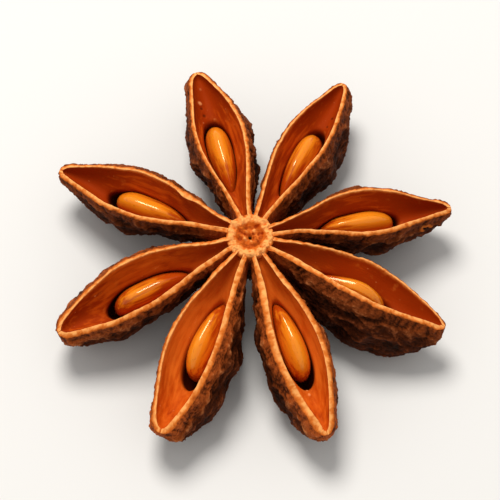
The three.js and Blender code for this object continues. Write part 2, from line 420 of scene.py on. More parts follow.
left_wall = [(wall_outline(q), -q) for q in WALL_STEPS]
left_hollow = [(math.sin(math.pi / 2 * t), -math.cos(math.pi / 2 * t)) for t in HOLLOW_STEPS]
right_wall = [(-y, z) for y, z in reversed(left_wall)]
right_hollow = [(-y, z) for y, z in reversed(left_hollow)]
outline = [(0, -1), *left_wall, *left_hollow, (0, -1), *right_hollow, *right_wall]
first_hollow = 1 + len(left_wall)
hollow = range(first_hollow, first_hollow + 2 * len(left_hollow) + 1)
print("points in one section:", len(outline))

# %% The first ring
ROOT = 1.0  # where the first section is, well inside the column

bpy.ops.object.select_all(action="DESELECT")
bpy.ops.mesh.primitive_circle_add(
    vertices=len(outline), radius=MM, location=(ROOT * MM, 0, 0), rotation=(0, math.pi / 2, 0)
)
husk_pattern = bpy.context.object
husk_pattern.name = husk_pattern.data.name = "husk_pattern"
settle(husk_pattern)
for vertex, (y, z) in zip(husk_pattern.data.vertices, outline):
    vertex.co = Vector((ROOT, y, z)) * MM

# %% [markdown]
# Three vertex groups remember which points belong to the hollow, which to the rim and which to the thin lip
# on its inner side. Extruded vertices keep their groups, and the groups fade softly when the mesh is
# subdivided, so later they tell the material where the pale lip ends.

# %% Groups for hollow, rim and lip
RIM_OUTSIDE = {0: 1.0, 0.015: 0.9, 0.05: 0.3}  # by the step on the wall
RIM_INSIDE = {1: 0.6, 0.96: 0.1}  # by the step in the hollow
LIP_OUTSIDE, LIP_INSIDE = {0: 0.3}, {1: 1.0, 0.96: 0.35}


def weight_at(index, on_wall, in_hollow):
    """Looks up the weight of one point of the outline by its step on the wall or in the hollow."""
    if index in hollow:
        place = min(index - first_hollow, hollow[-1] - index)
        return in_hollow.get((*HOLLOW_STEPS, 0)[place], 0.0)
    place = min(index - 1, len(outline) - 1 - index)
    return on_wall.get(WALL_STEPS[place], 0.0) if place >= 0 else 0.0


hollow_group = husk_pattern.vertex_groups.new(name="hollow")
hollow_group.add(list(hollow), 1.0, "REPLACE")
rim_group = husk_pattern.vertex_groups.new(name="rim")
lip_group = husk_pattern.vertex_groups.new(name="lip")
for index in range(len(outline)):
    rim_group.add([index], weight_at(index, RIM_OUTSIDE, RIM_INSIDE), "REPLACE")
    lip_group.add([index], weight_at(index, LIP_OUTSIDE, LIP_INSIDE), "REPLACE")

# %% Extrude the gutter
BODY_RINGS = 18
TIP_STEPS = (0.62, 0.48, 0.38, 0.31, 0.2, 0.05, 0)  # the last rings, measured back from the tip
body = np.linspace(NECK_START, PATTERN["reach"] - BEAK_ROUND, BODY_RINGS)
stations = [ROOT, *body, *(PATTERN["reach"] - step for step in TIP_STEPS)]

edit(husk_pattern)
for start, end in zip(stations, stations[1:]):
    bpy.ops.mesh.extrude_region_move(TRANSFORM_OT_translate={"value": ((end - start) * MM, 0, 0)})
print("sections along the carpel:", len(stations))

# %% [markdown]
# Every section is now scaled to its own size: the outer wall by the carpel's width and depth there, and the
# hollow by its own width and depth. That turns the gutter into a boat. Each end is closed with one face.

# %% Size each section


def at_section(vertex, x):
    return abs(vertex.co.x - x * MM) < 0.01 * MM


def pick_section(x, in_hollow):
    """Selects the outer wall or the hollow of the section at x."""
    layer = bmesh.from_edit_mesh(husk_pattern.data).verts.layers.deform.active

    def wanted(vertex):
        return at_section(vertex, x) and (vertex[layer].get(hollow_group.index, 0) > 0.5) == in_hollow

    pick(husk_pattern, wanted)


for x in stations:
    wall_size = rim_half_width(PATTERN, x), keel_depth(PATTERN, x)
    hollow_size = trough_half_width(PATTERN, x), trough_depth(PATTERN, x)
    for in_hollow, (width, depth) in ((False, wall_size), (True, hollow_size)):
        pick_section(x, in_hollow)
        bpy.ops.transform.resize(value=(1, float(width), float(depth)), center_override=(x * MM, 0, 0))

for x in (stations[0], stations[-1]):
    pick(husk_pattern, lambda vertex: at_section(vertex, x))
    bpy.ops.mesh.edge_face_add()
bpy.ops.mesh.select_all(action="SELECT")
bpy.ops.mesh.normals_make_consistent(inside=False)
done()
report(husk_pattern)

# %% [markdown]
# ## The seed's chamber
# In a real carpel the seed lies in a chamber below the hollow, and the wall slopes down to it all round. It
# could be cut with a Boolean, but that leaves ragged faces on its edge. Here the fine mesh of the hollow is
# pressed onto a slightly larger egg with a Shrinkwrap: only the part of the floor that is inside the egg
# moves. A Smooth on the lower part of the hollow then rounds the edge, so that the wall slopes into it.

# %% Subdivide and press in the chamber
FINE = 3
PRESSED = 0.01  # a point that moved further than this was pressed in

finish_with(husk_pattern, "SUBSURF", levels=FINE, render_levels=FINE)
before = points_of(husk_pattern)
chamber = egg("chamber", grown=(0.2, 0.06, 0.35), longer=0.5, steps=64, rings=48)
finish_with(
    husk_pattern,
    "SHRINKWRAP",
    target=chamber,
    wrap_method="PROJECT",
    vertex_group="hollow",
    use_positive_direction=False,
    use_negative_direction=True,
    cull_face="FRONT",
)
bpy.data.objects.remove(chamber)
pressed = np.linalg.norm(points_of(husk_pattern) - before, axis=1)
print(f"chamber: {np.count_nonzero(pressed > PRESSED)} points pressed in, at most {pressed.max():.2f} mm")

# %% Soften the chamber's edge
SOFT_FROM, SOFT_OVER = 0.6, 0.8  # depth in the hollow where the smoothing starts, and over which it grows
SOFT_ROUNDS = 45


def weights_of(piece, group_name):
    wanted = piece.vertex_groups[group_name].index
    found = ((g.weight for g in vertex.groups if g.group == wanted) for vertex in piece.data.vertices)
    return np.array([next(weights, 0.0) for weights in found])


low = smooth((-before[:, 2] - SOFT_FROM) / SOFT_OVER) * (weights_of(husk_pattern, "hollow") > 0.9)
soft_group = husk_pattern.vertex_groups.new(name="soft")
for index in np.flatnonzero(low > 0.02).tolist():
    soft_group.add([index], float(low[index]), "REPLACE")
finish_with(husk_pattern, "SMOOTH", vertex_group="soft", factor=0.5, iterations=SOFT_ROUNDS)
report(husk_pattern)

# %% [markdown]
# ## From the pattern to eight carpels
# The pattern's points and weights are read once as arrays. Each carpel is a copy of the pattern whose
# points are stretched to its own length, width and depth, roughened, and carried to its place.

# %% Read the pattern
pattern_points = points_of(husk_pattern)
pattern_normals = normals_of(husk_pattern)
INSIDE = weights_of(husk_pattern, "hollow")
RIM = weights_of(husk_pattern, "rim")
LIP = weights_of(husk_pattern, "lip")
husk_pattern.vertex_groups.clear()
print("points in the hollow:", np.count_nonzero(INSIDE > 0.5), "of", len(INSIDE))


def own_outline(carpel):
    """The pattern's points at this carpel's length, width and depth, still straight and level."""
    x0, y0, z0 = pattern_points.T
    stretch = (carpel["reach"] - NECK_START) / (PATTERN["reach"] - NECK_START)
    x = NECK_START + (x0 - NECK_START) * stretch
    y = y0 * rim_half_width(carpel, x) / rim_half_width(PATTERN, x0)
    z = z0 * keel_depth(carpel, x) / keel_depth(PATTERN, x0)
    return x, y, z


# %% [markdown]
# ## The bark of a carpel
# As the fruit dries, its skin shrinks into wrinkles of several sizes: coarse waves on the belly, a net of
# creases with sharp crests, soft lumps, fine ribs that stand square to the rim, and a pebbly grain. They are
# built in the mesh and not only as bump, because they show on the outline. A Displace modifier could do one
# of them, but here each kind has to know where it is on the wall.

# %% Noise and waves


def field(x, y, z, octaves=2):
    """Smooth noise, about -1 to 1, at each point."""
    rows = np.column_stack(np.broadcast_arrays(x, y, z)).tolist()
    return np.array([noise.fractal(row, 1.0, 2.0, octaves) for row in rows])


WRINKLE = 0.15  # height of the coarse waves


def coarse_wrinkle(carpel, x, y, q):
    """Slanting waves on the belly; q is the depth as a share of the keel's. They fade towards every edge."""
    fade = smooth((q - 0.12) / 0.3) * smooth((1 - q) / 0.15) * smooth((x - 3) / 3)
    start = carpel["turn"] * 0.7 + np.sign(y) * 1.9
    wave = 0.7 * np.sin(0.85 * x - 6.3 * q + 2.3 * start)
    wave += np.sin(1.55 * x + 3.1 * q + start) + 0.5 * np.sin(2.3 * x + 9 * q + 1.3 * start)
    return WRINKLE * fade * wave


# %% Folds, ribs and grain
FOLD, NET, LUMP, RIB, GRAIN = 0.2, 0.12, 0.08, 0.085, 0.05
RIB_SPACING, RIB_REACH = 0.52, 1.9  # how far apart the ribs are, and how far down the wall they run


def creases(x, y, z, octaves=2):
    """A net of sharp crests with wide valleys between them, from about -0.3 to 0.7."""
    return clamp01(1 - 1.6 * np.abs(field(x, y, z, octaves))) ** 2 - 0.3


def side_of(y):
    """-1 on the right wall and 1 on the left, with a soft change between them at the keel and the tip."""
    return np.clip(y / 0.5, -1, 1)


def rib_wave(carpel, x, y, z):
    """Ribs that stand square to the rim, each with a length and a strength of its own."""
    side, start = side_of(y), carpel["turn"]
    slanted = (x - 0.25 * z) / RIB_SPACING
    bend = field(0.5 * x + start, 0.5 * z, side)
    even = np.cos(math.tau * (slanted + 1.2 * bend))
    uneven = field(1.15 * slanted + bend, 0.45 * z, 3 * side + start)
    reach = RIB_REACH * (0.75 + 0.5 * field(0.9 * slanted, 5 * side, 4 + start))
    below = -z
    fade = smooth((below + 0.02) / 0.2) * (1 - smooth((below - 0.35 * reach) / (0.65 * reach)))
    return fade * np.abs(side) * (0.45 * even + 1.5 * uneven)


def bark(carpel, x, y, z):
    """How far the outside of the wall stands up or sinks. The larger the factors on x, y and z, the finer."""
    start = carpel["turn"]
    bend = field(0.35 * x + start, 0.5 * z, 0.5 * y)
    folds = creases(0.4 * x - start, 0.7 * z + 0.5 * bend, 0.7 * y)
    net = creases(1.1 * x + bend, 1.6 * z - start, 1.6 * y, octaves=3)
    lumps = field(0.7 * x, 0.8 * z + start, 0.8 * y)
    grain = field(3.1 * x, 3.1 * y, 3.1 * z + start)
    fade = smooth((-z - 0.25) / 1.2) * smooth((x - 1.5) / 2.5) * tip_rounding(carpel, x)
    pebbles = GRAIN * (0.35 + 0.65 * fade) * grain
    return fade * (FOLD * folds + NET * net + LUMP * lumps) + pebbles + RIB * rib_wave(carpel, x, y, z)


# %% [markdown]
# The rim is the dry, pale edge along which the carpel tore open. It is never quite straight: it wanders up
# and down, is nicked here and there, and is thicker in some places than in others. On one carpel a scrap of
# skin is left on it. The inside of the wall is smooth, with only a slow swell.

# %% Rim and inside
RIM_RAGGED, NICK, RIM_UNEVEN, BEAD, SWELL = 0.06, 0.1, 0.06, 0.045, 0.06
RIM_SLOPE = 0.13  # how much lower the rim is on its outer side
ROOT_DIP = 0.45  # how far the rims dive where they go into the column
ROOT_BEAD, ROOT_BEAD_AT, ROOT_BEAD_LENGTH = 0.1, 2.25, 0.3  # each rim swells up where it meets the ring
FLAP = dict(carpel=4, side=-1, x=6.3, length=1.0, width=0.32)  # the scrap; side 1 is the left rim


def rim_lift(carpel, x, y):
    """How far the rim stands up or is nicked."""
    start, side = carpel["turn"], side_of(y)
    ragged = field(1.9 * x, 7 * side, start, octaves=3)
    nicks = smooth((field(0.9 * x + start, 5 * side, 2.0) - 0.3) / 0.25)
    return RIM_RAGGED * ragged - NICK * nicks + ROOT_BEAD * hump(x - ROOT_BEAD_AT, ROOT_BEAD_LENGTH)


def rim_spread(carpel, x, y):
    """How far the rim wanders sideways and how its lip thickens and thins."""
    start, side = carpel["turn"], side_of(y)
    wander = field(1.3 * x, 3 * side, 9.0 + start)
    beads = field(3.0 * x, 5 * side, start, octaves=3)
    return RIM_UNEVEN * wander + BEAD * beads


def lip_reach(carpel, x, y):
    """How far the lip reaches in over the hollow."""
    reach = np.where(y > 0, carpel["left_lip"], carpel["right_lip"])
    if carpel is CARPELS[FLAP["carpel"] - 1]:
        here = hump(x - FLAP["x"], FLAP["length"])
        reach = reach + FLAP["width"] * here * (np.sign(y) == FLAP["side"])
    return reach * smooth((x - 2) / 3) * hollow_rounding(carpel, x)


def inner_swell(carpel, x, y, z):
    fade = smooth(-z / 0.8)
    return SWELL * fade * field(0.4 * x + carpel["turn"], 0.9 * y, 0.9 * z, octaves=1)


# %% [markdown]
# Small marks make each carpel its own: one has a round scar on its side, and three have pale crumbs and dark
# pits inside. Each is a soft bump or dip at a place along the carpel, and is kept for the material too.

# %% A scar, crumbs and pits
KNOT = dict(carpel=1, x=14.6, side=-1, below=1.3, size=0.52, height=0.28, dip=1.6)  # a raised ring with a dip
SPOT_HEIGHT = 0.07
SPOTS = (  # carpel, x, y, radius, and how pale a crumb is, or below 0 how dark a pit is
    (3, 14.4, 0.6, 0.19, 1.0), (3, 13.95, 0.55, 0.14, -0.9), (3, 13.3, 0.45, 0.16, -0.9),
    (3, 12.65, 0.67, 0.1, 0.6), (3, 9.0, 1.56, 0.12, 0.8), (3, 12.85, -0.33, 0.14, 0.45),
    (3, 15.7, 0.15, 0.2, 0.45), (2, 14.15, -0.37, 0.15, -0.9), (2, 13.3, -0.32, 0.13, -0.8),
    (2, 14.85, -0.77, 0.15, -0.7), (7, 13.1, -0.08, 0.14, 0.9), (7, 12.7, -0.11, 0.1, 0.8),
)


def knot(number, x, y, z):
    if number != KNOT["carpel"]:
        return np.zeros_like(x)
    away = np.hypot(x - KNOT["x"], z + KNOT["below"])
    return hump(away, KNOT["size"]) * (np.sign(y) == KNOT["side"]) * (1 - INSIDE)


def spots_on(number, x, y):
    """Up to 1 on the pale crumbs inside this carpel, down to -1 in its dark pits, and 0 elsewhere."""
    marks = np.zeros_like(x)
    for owner, spot_x, spot_y, size, paleness in SPOTS:
        if owner == number:
            marks += paleness * hump(np.hypot(x - spot_x, y - spot_y), size)
    return INSIDE * marks


# %% [markdown]
# The mesh itself can remember numbers for each of its points, as attributes: how far along the carpel a point
# is, whether it is inside, how high it stands on the bark. The material reads them later. A hollow also leans
# to the side where its seed lies, so that the seed doesn't cut into the wall.

# %% Remember numbers, and lean a hollow
LEAN_FROM, LEAN_TO = (2.5, 3), (12, 3.5)  # where the lean comes in and goes out, and over which lengths


def remember(piece, **numbers):
    """Stores numbers for each point on the mesh, where the material can read them."""
    for name, values in numbers.items():
        kind = "FLOAT" if values.ndim == 1 else "FLOAT_VECTOR"
        layer = piece.data.attributes.new(name, kind, "POINT")
        layer.data.foreach_set("value" if values.ndim == 1 else "vector", values.ravel())


def lean(carpel, x, z):
    """How far the hollow lies to the left of the middle at depth z."""
    (start, coming), (end, going) = LEAN_FROM, LEAN_TO
    along_seed = smooth((x - start) / coming) * (1 - smooth((x - end) / going))
    return carpel["lean"] * along_seed * smooth(-z / 2.0)


# %% Make the carpels
HUSKS = []

for number, carpel in enumerate(CARPELS, start=1):
    husk = copy_of(husk_pattern, f"carpel_{number}")
    x, y, z = own_outline(carpel)
    straight = np.column_stack((x, y, z))
    outside = (1 - INSIDE) * (1 - 0.6 * RIM)
    lump, spots = knot(number, x, y, z), spots_on(number, x, y)
    relief = outside * bark(carpel, x, y, z) + INSIDE * inner_swell(carpel, x, y, z) + SPOT_HEIGHT * spots
    scar = KNOT["height"] * (lump - KNOT["dip"] * lump**6)
    moved = straight + pattern_normals * (relief + scar)[:, None]
    q = clamp01(-z / keel_depth(carpel, x))
    wave = coarse_wrinkle(carpel, x, y, q) * rim_half_width(carpel, x) / RIM_HALF_WIDTH
    moved[:, 1] += (1 - INSIDE) * side_of(y) * wave + INSIDE * lean(carpel, x, z)
    moved[:, 1] += side_of(y) * (RIM * (1 - INSIDE) - 0.5 * LIP * INSIDE) * rim_spread(carpel, x, y)
    moved[:, 1] -= side_of(y) * LIP * INSIDE * lip_reach(carpel, x, y)
    moved[:, 2] += (RIM * rim_lift(carpel, x, y) - RIM_SLOPE * RIM * (1 - INSIDE)) * tip_rounding(carpel, x)
    moved[:, 2] -= ROOT_DIP * (1 - smooth((x - 1.1) / 0.7))
    put_points(husk, carry(carpel, *moved.T))
    remember(husk, straight=straight, rim=RIM, lip=LIP, inside=INSIDE, crest=relief, knot=lump, spot=spots)
    # The first number is how light the carpel is inside, partly its own colour and partly painted light and
    # shade; the second is how much painted shade darkens its neck.
    remember(husk, tone=np.full_like(RIM, carpel["tone"]), dusk=np.full_like(RIM, carpel["dusk"]))
    HUSKS.append(husk)
bpy.data.objects.remove(husk_pattern)
report(HUSKS[0])

# %% [markdown]
# ## The seeds
# The seed pattern is copied in the same way and carried into each carpel. A seed lies a little more level
# than the sloping rims beside it, so its outer end is raised and its inner end sunk.

# %% Make the seeds
LEVELLING = 0.09  # how much a seed rises for each millimetre outward
OWN_STREAKS = 11  # how far apart the seeds' patterns are taken, so that no two look alike
SEEDS = []

for number, carpel in enumerate(CARPELS, start=1):
    seed = copy_of(seed_pattern, f"kernel_{number}")
    straight = points_of(seed)
    x, y, z = straight.T
    z = z + LEVELLING * (x - SEED_OUT)
    put_points(seed, carry(carpel, x + carpel["shift"], y + carpel["lean"], z))
    # How light each seed is: partly its own colour and partly painted light and shade.
    glow = np.full(len(straight), carpel["glow"])
    remember(seed, straight=straight + (0, OWN_STREAKS * number, 0), glow=glow)
    SEEDS.append(seed)
bpy.data.objects.remove(seed_pattern)
report(SEEDS[0])

# %% [markdown]
# ## The column
# The column is what is left of the flower's middle: a knobbly ring round a shallow dish with a small pit,
# and below it the stub of the stalk. It is round, so it is spun from a profile. Each carpel's two rims run up
# onto the ring and end in a nub.

# %% Spin the column
COLUMN_PROFILE = (  # radius, and height from the rims
    (0, -0.76), (0.13, -0.7), (0.24, -0.4), (0.46, -0.26), (0.8, -0.46), (0.98, -0.4), (1.2, -0.06),
    (1.5, 0.05), (1.8, -0.02), (1.98, -0.22), (1.92, -0.65), (1.68, -1.6), (1.62, -3.2), (1.78, -4.6),
    (1.45, -5.4), (1.0, -5.85), (0.82, -6.6), (0.86, -7.25), (0.6, -7.45), (0, -7.3),
)

profile = [(radius, 0, COLUMN_TOP + z) for radius, z in COLUMN_PROFILE]
column = spun("column", profile, 56, axis=(0, 0, 1), centre=(0, 0, 0))
finish_with(column, "SUBSURF", levels=FINE, render_levels=FINE)
report(column)

# %% [markdown]
# A spun piece is too even, so its points are then lifted by soft humps: one nub for each rim, lumps on the
# crest of the ring, a mound and a few folds round the pit, and folds down the side.

# %% Where the nubs are
NUB, NUB_ANGLE, NUB_WIDTH = 0.14, 0.24, 0.1  # height, and the angles from a carpel's middle and across a nub

straight = points_of(column)
x, y, z = straight.T
radius, angle = np.hypot(x, y), np.arctan2(y, x)
nub = np.zeros_like(x)
for number, carpel in enumerate(CARPELS):
    for side in (-1, 1):
        away = angle - math.radians(carpel["turn"]) - side * NUB_ANGLE - 0.05 * math.sin(5 * number + side)
        away = (away + math.pi) % math.tau - math.pi
        nub += (1 + 0.4 * math.sin(3 * number + 2 * side)) * hump(away, NUB_WIDTH)
print("nubs on the ring:", 2 * len(CARPELS))

# %% Lumps, mound and folds
CREST_RADIUS, CREST_WIDTH = 1.54, 0.44
DISH_RADIUS, DISH_EDGE = 0.85, 0.3
MOUND_RADIUS, MOUND_WIDTH = 0.48, 0.22
DISH_FOLDS, DISH_FOLD, DISH_FOLD_RADIUS = 5, 0.1, 0.55  # how many folds round the pit, how high and where
SIDE_FOLDS, SIDE_FOLD = 16, 0.1  # folds down the side of the column, and their height
PIT_RADIUS = 0.27

near_top = smooth((z - COLUMN_TOP + 1.3) / 0.9)
rough = field(1.5 * x, 1.5 * y, 1.5 * z, octaves=3)
wander = field(0.9 * x, 0.9 * y, 3.0)  # moves the crest in and out, so that it is no perfect circle
fine = field(4.5 * x, 4.5 * y, 4.5 * z)
on_crest = hump(radius - CREST_RADIUS - 0.12 * wander, CREST_WIDTH) * near_top
in_dish = (1 - smooth((radius - DISH_RADIUS) / DISH_EDGE)) * near_top
on_mound = hump(radius - MOUND_RADIUS - 0.15 * wander, MOUND_WIDTH) * near_top
petals = np.cos(DISH_FOLDS * angle + 2.5 * rough + 1.0) * hump(radius - DISH_FOLD_RADIUS, DISH_EDGE)
lumps = field(2.6 * x, 2.6 * y, 1.0)
lift = on_crest * (NUB * nub - 0.04 + 0.2 * lumps + 0.12 * rough)
lift += in_dish * (0.14 * lumps + DISH_FOLD * petals)
lift += 0.04 * fine * near_top
side_folds = (1 - near_top) * SIDE_FOLD * np.cos(SIDE_FOLDS * angle + 2 * rough)
grow = 1 + (side_folds + on_crest * (0.07 * nub + 0.06 * rough)) / np.maximum(radius, 0.5)
put_points(column, np.column_stack((x * grow, y * grow, z + lift)))
remember(
    column,
    straight=straight + (12, 0, -COLUMN_TOP),
    rim=np.clip(on_crest + 0.3 * in_dish, 0, 1),
    # The ring's crest and the mound take the pale gold of the lip, which carries a painted highlight.
    lip=np.clip(on_crest**1.5 * (1.1 + 0.25 * nub + 0.9 * lumps), 0, 1.3) + on_mound * (0.55 + 0.6 * lumps),
    inside=smooth((z - COLUMN_TOP + 0.6) / 0.4),
    crest=0.15 * rough + side_folds,
    knot=hump(radius, PIT_RADIUS) * (z > COLUMN_TOP - 2),
    tone=0.75 + lumps,
    spot=np.zeros_like(x),
    dusk=np.zeros_like(x),
)

# %% [markdown]
# ## Materials
# A finish is built from nodes. These helpers add a node, feed it and hand back its output, so that a
# material reads like a recipe.

# %% Node helpers


def new_finish(name):
    """A new material with only its shader and its output; returns both the material and the shader."""
    material = bpy.data.materials.new(name)
    material.use_nodes = True
    return material, material.node_tree.nodes["Principled BSDF"]


def add(tree, kind, sockets, **settings):
    """Adds a node. A socket gets a plain value or another node's output."""
    made = tree.nodes.new(kind)
    for name, value in settings.items():
        setattr(made, name, value)
    for key, value in sockets.items():
        if isinstance(value, bpy.types.NodeSocket):
            tree.links.new(value, made.inputs[key])
        else:
            made.inputs[key].default_value = value
    return made


def read(tree, name, output="Fac"):
    """What the mesh remembers for each point under this name."""
    return add(tree, "ShaderNodeAttribute", {}, attribute_name=name).outputs[output]


def blend(tree, share, a, b):
    """Colour a where share is 0 and colour b where it is 1."""
    sockets = {0: share, 6: a, 7: b}
    return add(tree, "ShaderNodeMix", sockets, data_type="RGBA").outputs[2]


def stretch(tree, value, low, high, to_low=0.0, to_high=1.0):
    """Turns the range from low to high into the range from to_low to to_high, with soft ends."""
    sockets = {"Value": value, "From Min": low, "From Max": high, "To Min": to_low, "To Max": to_high}
    return add(tree, "ShaderNodeMapRange", sockets, interpolation_type="SMOOTHSTEP").outputs[0]


def calc(tree, how, a, b):
    return add(tree, "ShaderNodeMath", {0: a, 1: b}, operation=how).outputs[0]


def swing(tree, pattern, size):
    """A pattern that runs from 0 to 1, made to swing to both sides of 0."""
    return calc(tree, "MULTIPLY", calc(tree, "SUBTRACT", pattern, 0.5), size)


def grain_of(tree, where, size, detail=3.0, roughness=0.55):
    """Noise whose features are size = (x, y, z) millimetres long."""
    scaled = add(tree, "ShaderNodeMapping", {"Vector": where, "Scale": [1 / s for s in size]})
    sockets = {"Vector": scaled.outputs[0], "Scale": 1.0, "Detail": detail, "Roughness": roughness}
    return add(tree, "ShaderNodeTexNoise", sockets).outputs["Fac"]


# %% [markdown]
# ### The husk
# Inside, the wall is a satin sienna, with lit and shaded siennas painted per carpel, and painted shade down
# its neck and in the seed's chamber. Outside it is bark, with painted shade in its furrows and a painted
# highlight on its crests, and a lighter brown band below the rim; below the band and on the far carpels it is
# darker as painted shade. The rim is a broken golden line, its pale dry edge with a painted highlight along
# it. Painted pictures could show this, but they would need unwrapping and be tied to one size. Here the mesh
# remembers which point is which, so one procedural material covers all the husk pieces.

# %% Husk colours
# The lip's gold is the rim's pale dry edge with a painted highlight on it.
LIP_GOLD_AND_HIGHLIGHT, RIM_ORANGE = (0.98, 0.42, 0.12, 1), (0.68, 0.16, 0.02, 1)
# The three siennas are painted shaded, half-lit and lit colours of the inside wall.
SIENNA_SHADED, SIENNA_HALF_LIT = (0.34, 0.031, 0.0012, 1), (0.58, 0.085, 0.004, 1)
SIENNA_LIT = (0.77, 0.16, 0.013, 1)
# The neck's brown is painted shade in the narrow neck. The chamber's dark is painted shade in the seed's
# chamber, and also the colour of the dark pits.
NECK_SHADE_BROWN, CHAMBER_SHADE_AND_PIT_DARK = (0.34, 0.042, 0.003, 1), (0.08, 0.009, 0.0015, 1)
# The furrow colours are painted shade in the furrows of the band and of the bark; the darker one also fills
# the middle of the scar and of the pit. The crest tan is a painted highlight on the bark's crests.
BAND_FURROW_SHADE, BAND_BROWN, BAND_TAN = (0.06, 0.01, 0.002, 1), (0.46, 0.09, 0.015, 1), (0.9, 0.34, 0.11, 1)
SHADE_AND_MARK_DARK, BARK_BROWN, CREST_HIGHLIGHT_TAN = (0.012, 0.003, 0.0015, 1), (0.06, 0.0115, 0.0032, 1), (0.26, 0.06, 0.017, 1)

# %% What the husk's patterns read
husk_finish, shader = new_finish("husk")
tree = husk_finish.node_tree
straight = read(tree, "straight", "Vector")
places = add(tree, "ShaderNodeSeparateXYZ", {0: straight})
out, height = places.outputs["X"], places.outputs["Z"]
rim, lip, inside, crest = (read(tree, name) for name in ("rim", "lip", "inside", "crest"))
carpel_tone_and_light, spot, mark = (read(tree, name) for name in ("tone", "spot", "knot"))

streaks = grain_of(tree, straight, (2.5, 0.4, 0.4))
patches = grain_of(tree, straight, (0.9, 0.9, 0.9), detail=3.0)
speckle = grain_of(tree, straight, (0.2, 0.16, 0.16), detail=4.0)
chips = grain_of(tree, straight, (0.45, 0.3, 0.3), detail=2.0)
print("places and patterns:", len(tree.nodes), "nodes")

# %% Inside of the wall
# Painted light and shade: how light each carpel is inside, varied by streaks, picks between a shaded, a
# half-lit and a lit sienna.
tone = calc(tree, "ADD", carpel_tone_and_light, swing(tree, streaks, 1.8))
tone = calc(tree, "SUBTRACT", tone, stretch(tree, out, 10.5, 15.5, 0.0, 0.45))  # darker towards the tip
satin = blend(tree, stretch(tree, tone, 0.0, 0.6), SIENNA_SHADED, SIENNA_HALF_LIT)
satin = blend(tree, stretch(tree, tone, 0.5, 1.2), satin, SIENNA_LIT)
satin = blend(tree, stretch(tree, patches, 0.6, 0.8, 0.0, 0.5), satin, RIM_ORANGE)
# Painted shade down the narrow neck, as strong as the carpel's number for it.
neck_shade_share = calc(tree, "MULTIPLY", stretch(tree, out, 8.0, 2.5), read(tree, "dusk"))
satin = blend(tree, neck_shade_share, satin, NECK_SHADE_BROWN)
# Painted shade in the seed's chamber, stronger towards its outer end.
under_seed = stretch(tree, out, 4.5, 8.5, 0.35, 1.0)
chamber_shade_share = calc(tree, "MULTIPLY", stretch(tree, height, -1.9, -3.3), under_seed)
satin = blend(tree, chamber_shade_share, satin, CHAMBER_SHADE_AND_PIT_DARK)
satin = blend(tree, stretch(tree, chips, 0.71, 0.77, 0.0, 0.5), satin, BAND_TAN)
satin = blend(tree, stretch(tree, spot, 0.2, 0.8, 0.0, 0.85), satin, BAND_TAN)
# The dark pits take the chamber's dark as their own colour.
satin = blend(tree, stretch(tree, spot, -0.2, -0.7, 0.0, 0.7), satin, CHAMBER_SHADE_AND_PIT_DARK)
print("with the inside:", len(tree.nodes), "nodes")

# %% Bark
# The paler band below the rim is the skin with its ribs. Below it the wall turns darker, partly as painted
# shade on the lower sides, and on carpels that are darker inside the band dims too, as painted shade on the
# far carpels.
in_band = stretch(tree, height, -2.2, -0.6)
in_band = calc(tree, "MULTIPLY", in_band, stretch(tree, carpel_tone_and_light, 0.0, 0.9, 0.4, 1.0))
# Painted highlight on the crests of the relief and painted shade in its furrows.
lit_crest = calc(tree, "ADD", crest, swing(tree, speckle, 0.4))
furrow_shade = blend(tree, in_band, SHADE_AND_MARK_DARK, BAND_FURROW_SHADE)
slope = blend(tree, in_band, BARK_BROWN, BAND_BROWN)
top = blend(tree, in_band, CREST_HIGHLIGHT_TAN, BAND_TAN)
barky = blend(tree, stretch(tree, lit_crest, -0.12, 0.09), furrow_shade, slope)
barky = blend(tree, stretch(tree, lit_crest, 0.07, 0.27, 0.0, 0.8), barky, top)
barky = blend(tree, stretch(tree, out, 4.6, 2.4, 0.0, 0.7), barky, BAND_BROWN)  # lighter near the column
body = blend(tree, inside, barky, satin)
print("with the bark:", len(tree.nodes), "nodes")

# %% Rim, scar and pit
uneven = calc(tree, "ADD", swing(tree, patches, 1.4), swing(tree, chips, 2.2))
along_rim = calc(tree, "ADD", stretch(tree, out, 2.4, 4.5, 0.6, 1.0), stretch(tree, out, 2.9, 2.2, 0.0, 0.25))
edge = calc(tree, "MULTIPLY", lip, along_rim)  # how far a point is on the bright line, 1 being all the way
edge = calc(tree, "ADD", edge, calc(tree, "MULTIPLY", rim, stretch(tree, out, 5.5, 2.5, 0.0, 0.25)))
edge = calc(tree, "ADD", edge, calc(tree, "MULTIPLY", uneven, lip))
# The bright line is the rim's pale dry edge with a painted highlight along it, fainter near the column.
colour = blend(tree, stretch(tree, edge, 0.1, 0.5), body, RIM_ORANGE)
colour = blend(tree, stretch(tree, edge, 0.4, 1.05), colour, LIP_GOLD_AND_HIGHLIGHT)
colour = blend(tree, stretch(tree, mark, 0.2, 0.5, 0.0, 0.8), colour, RIM_ORANGE)
colour = blend(tree, stretch(tree, mark, 0.65, 0.9), colour, SHADE_AND_MARK_DARK)
tree.links.new(colour, shader.inputs["Base Color"])
print("with the rim:", len(tree.nodes), "nodes")

# %% Gloss and fine relief of the husk
BARK_ROUGH, SATIN_ROUGH, RIM_ROUGH = 0.8, 0.62, 0.55
BARK_BUMP, SATIN_BUMP, BUMP_HEIGHT = 0.9, 0.25, 0.06

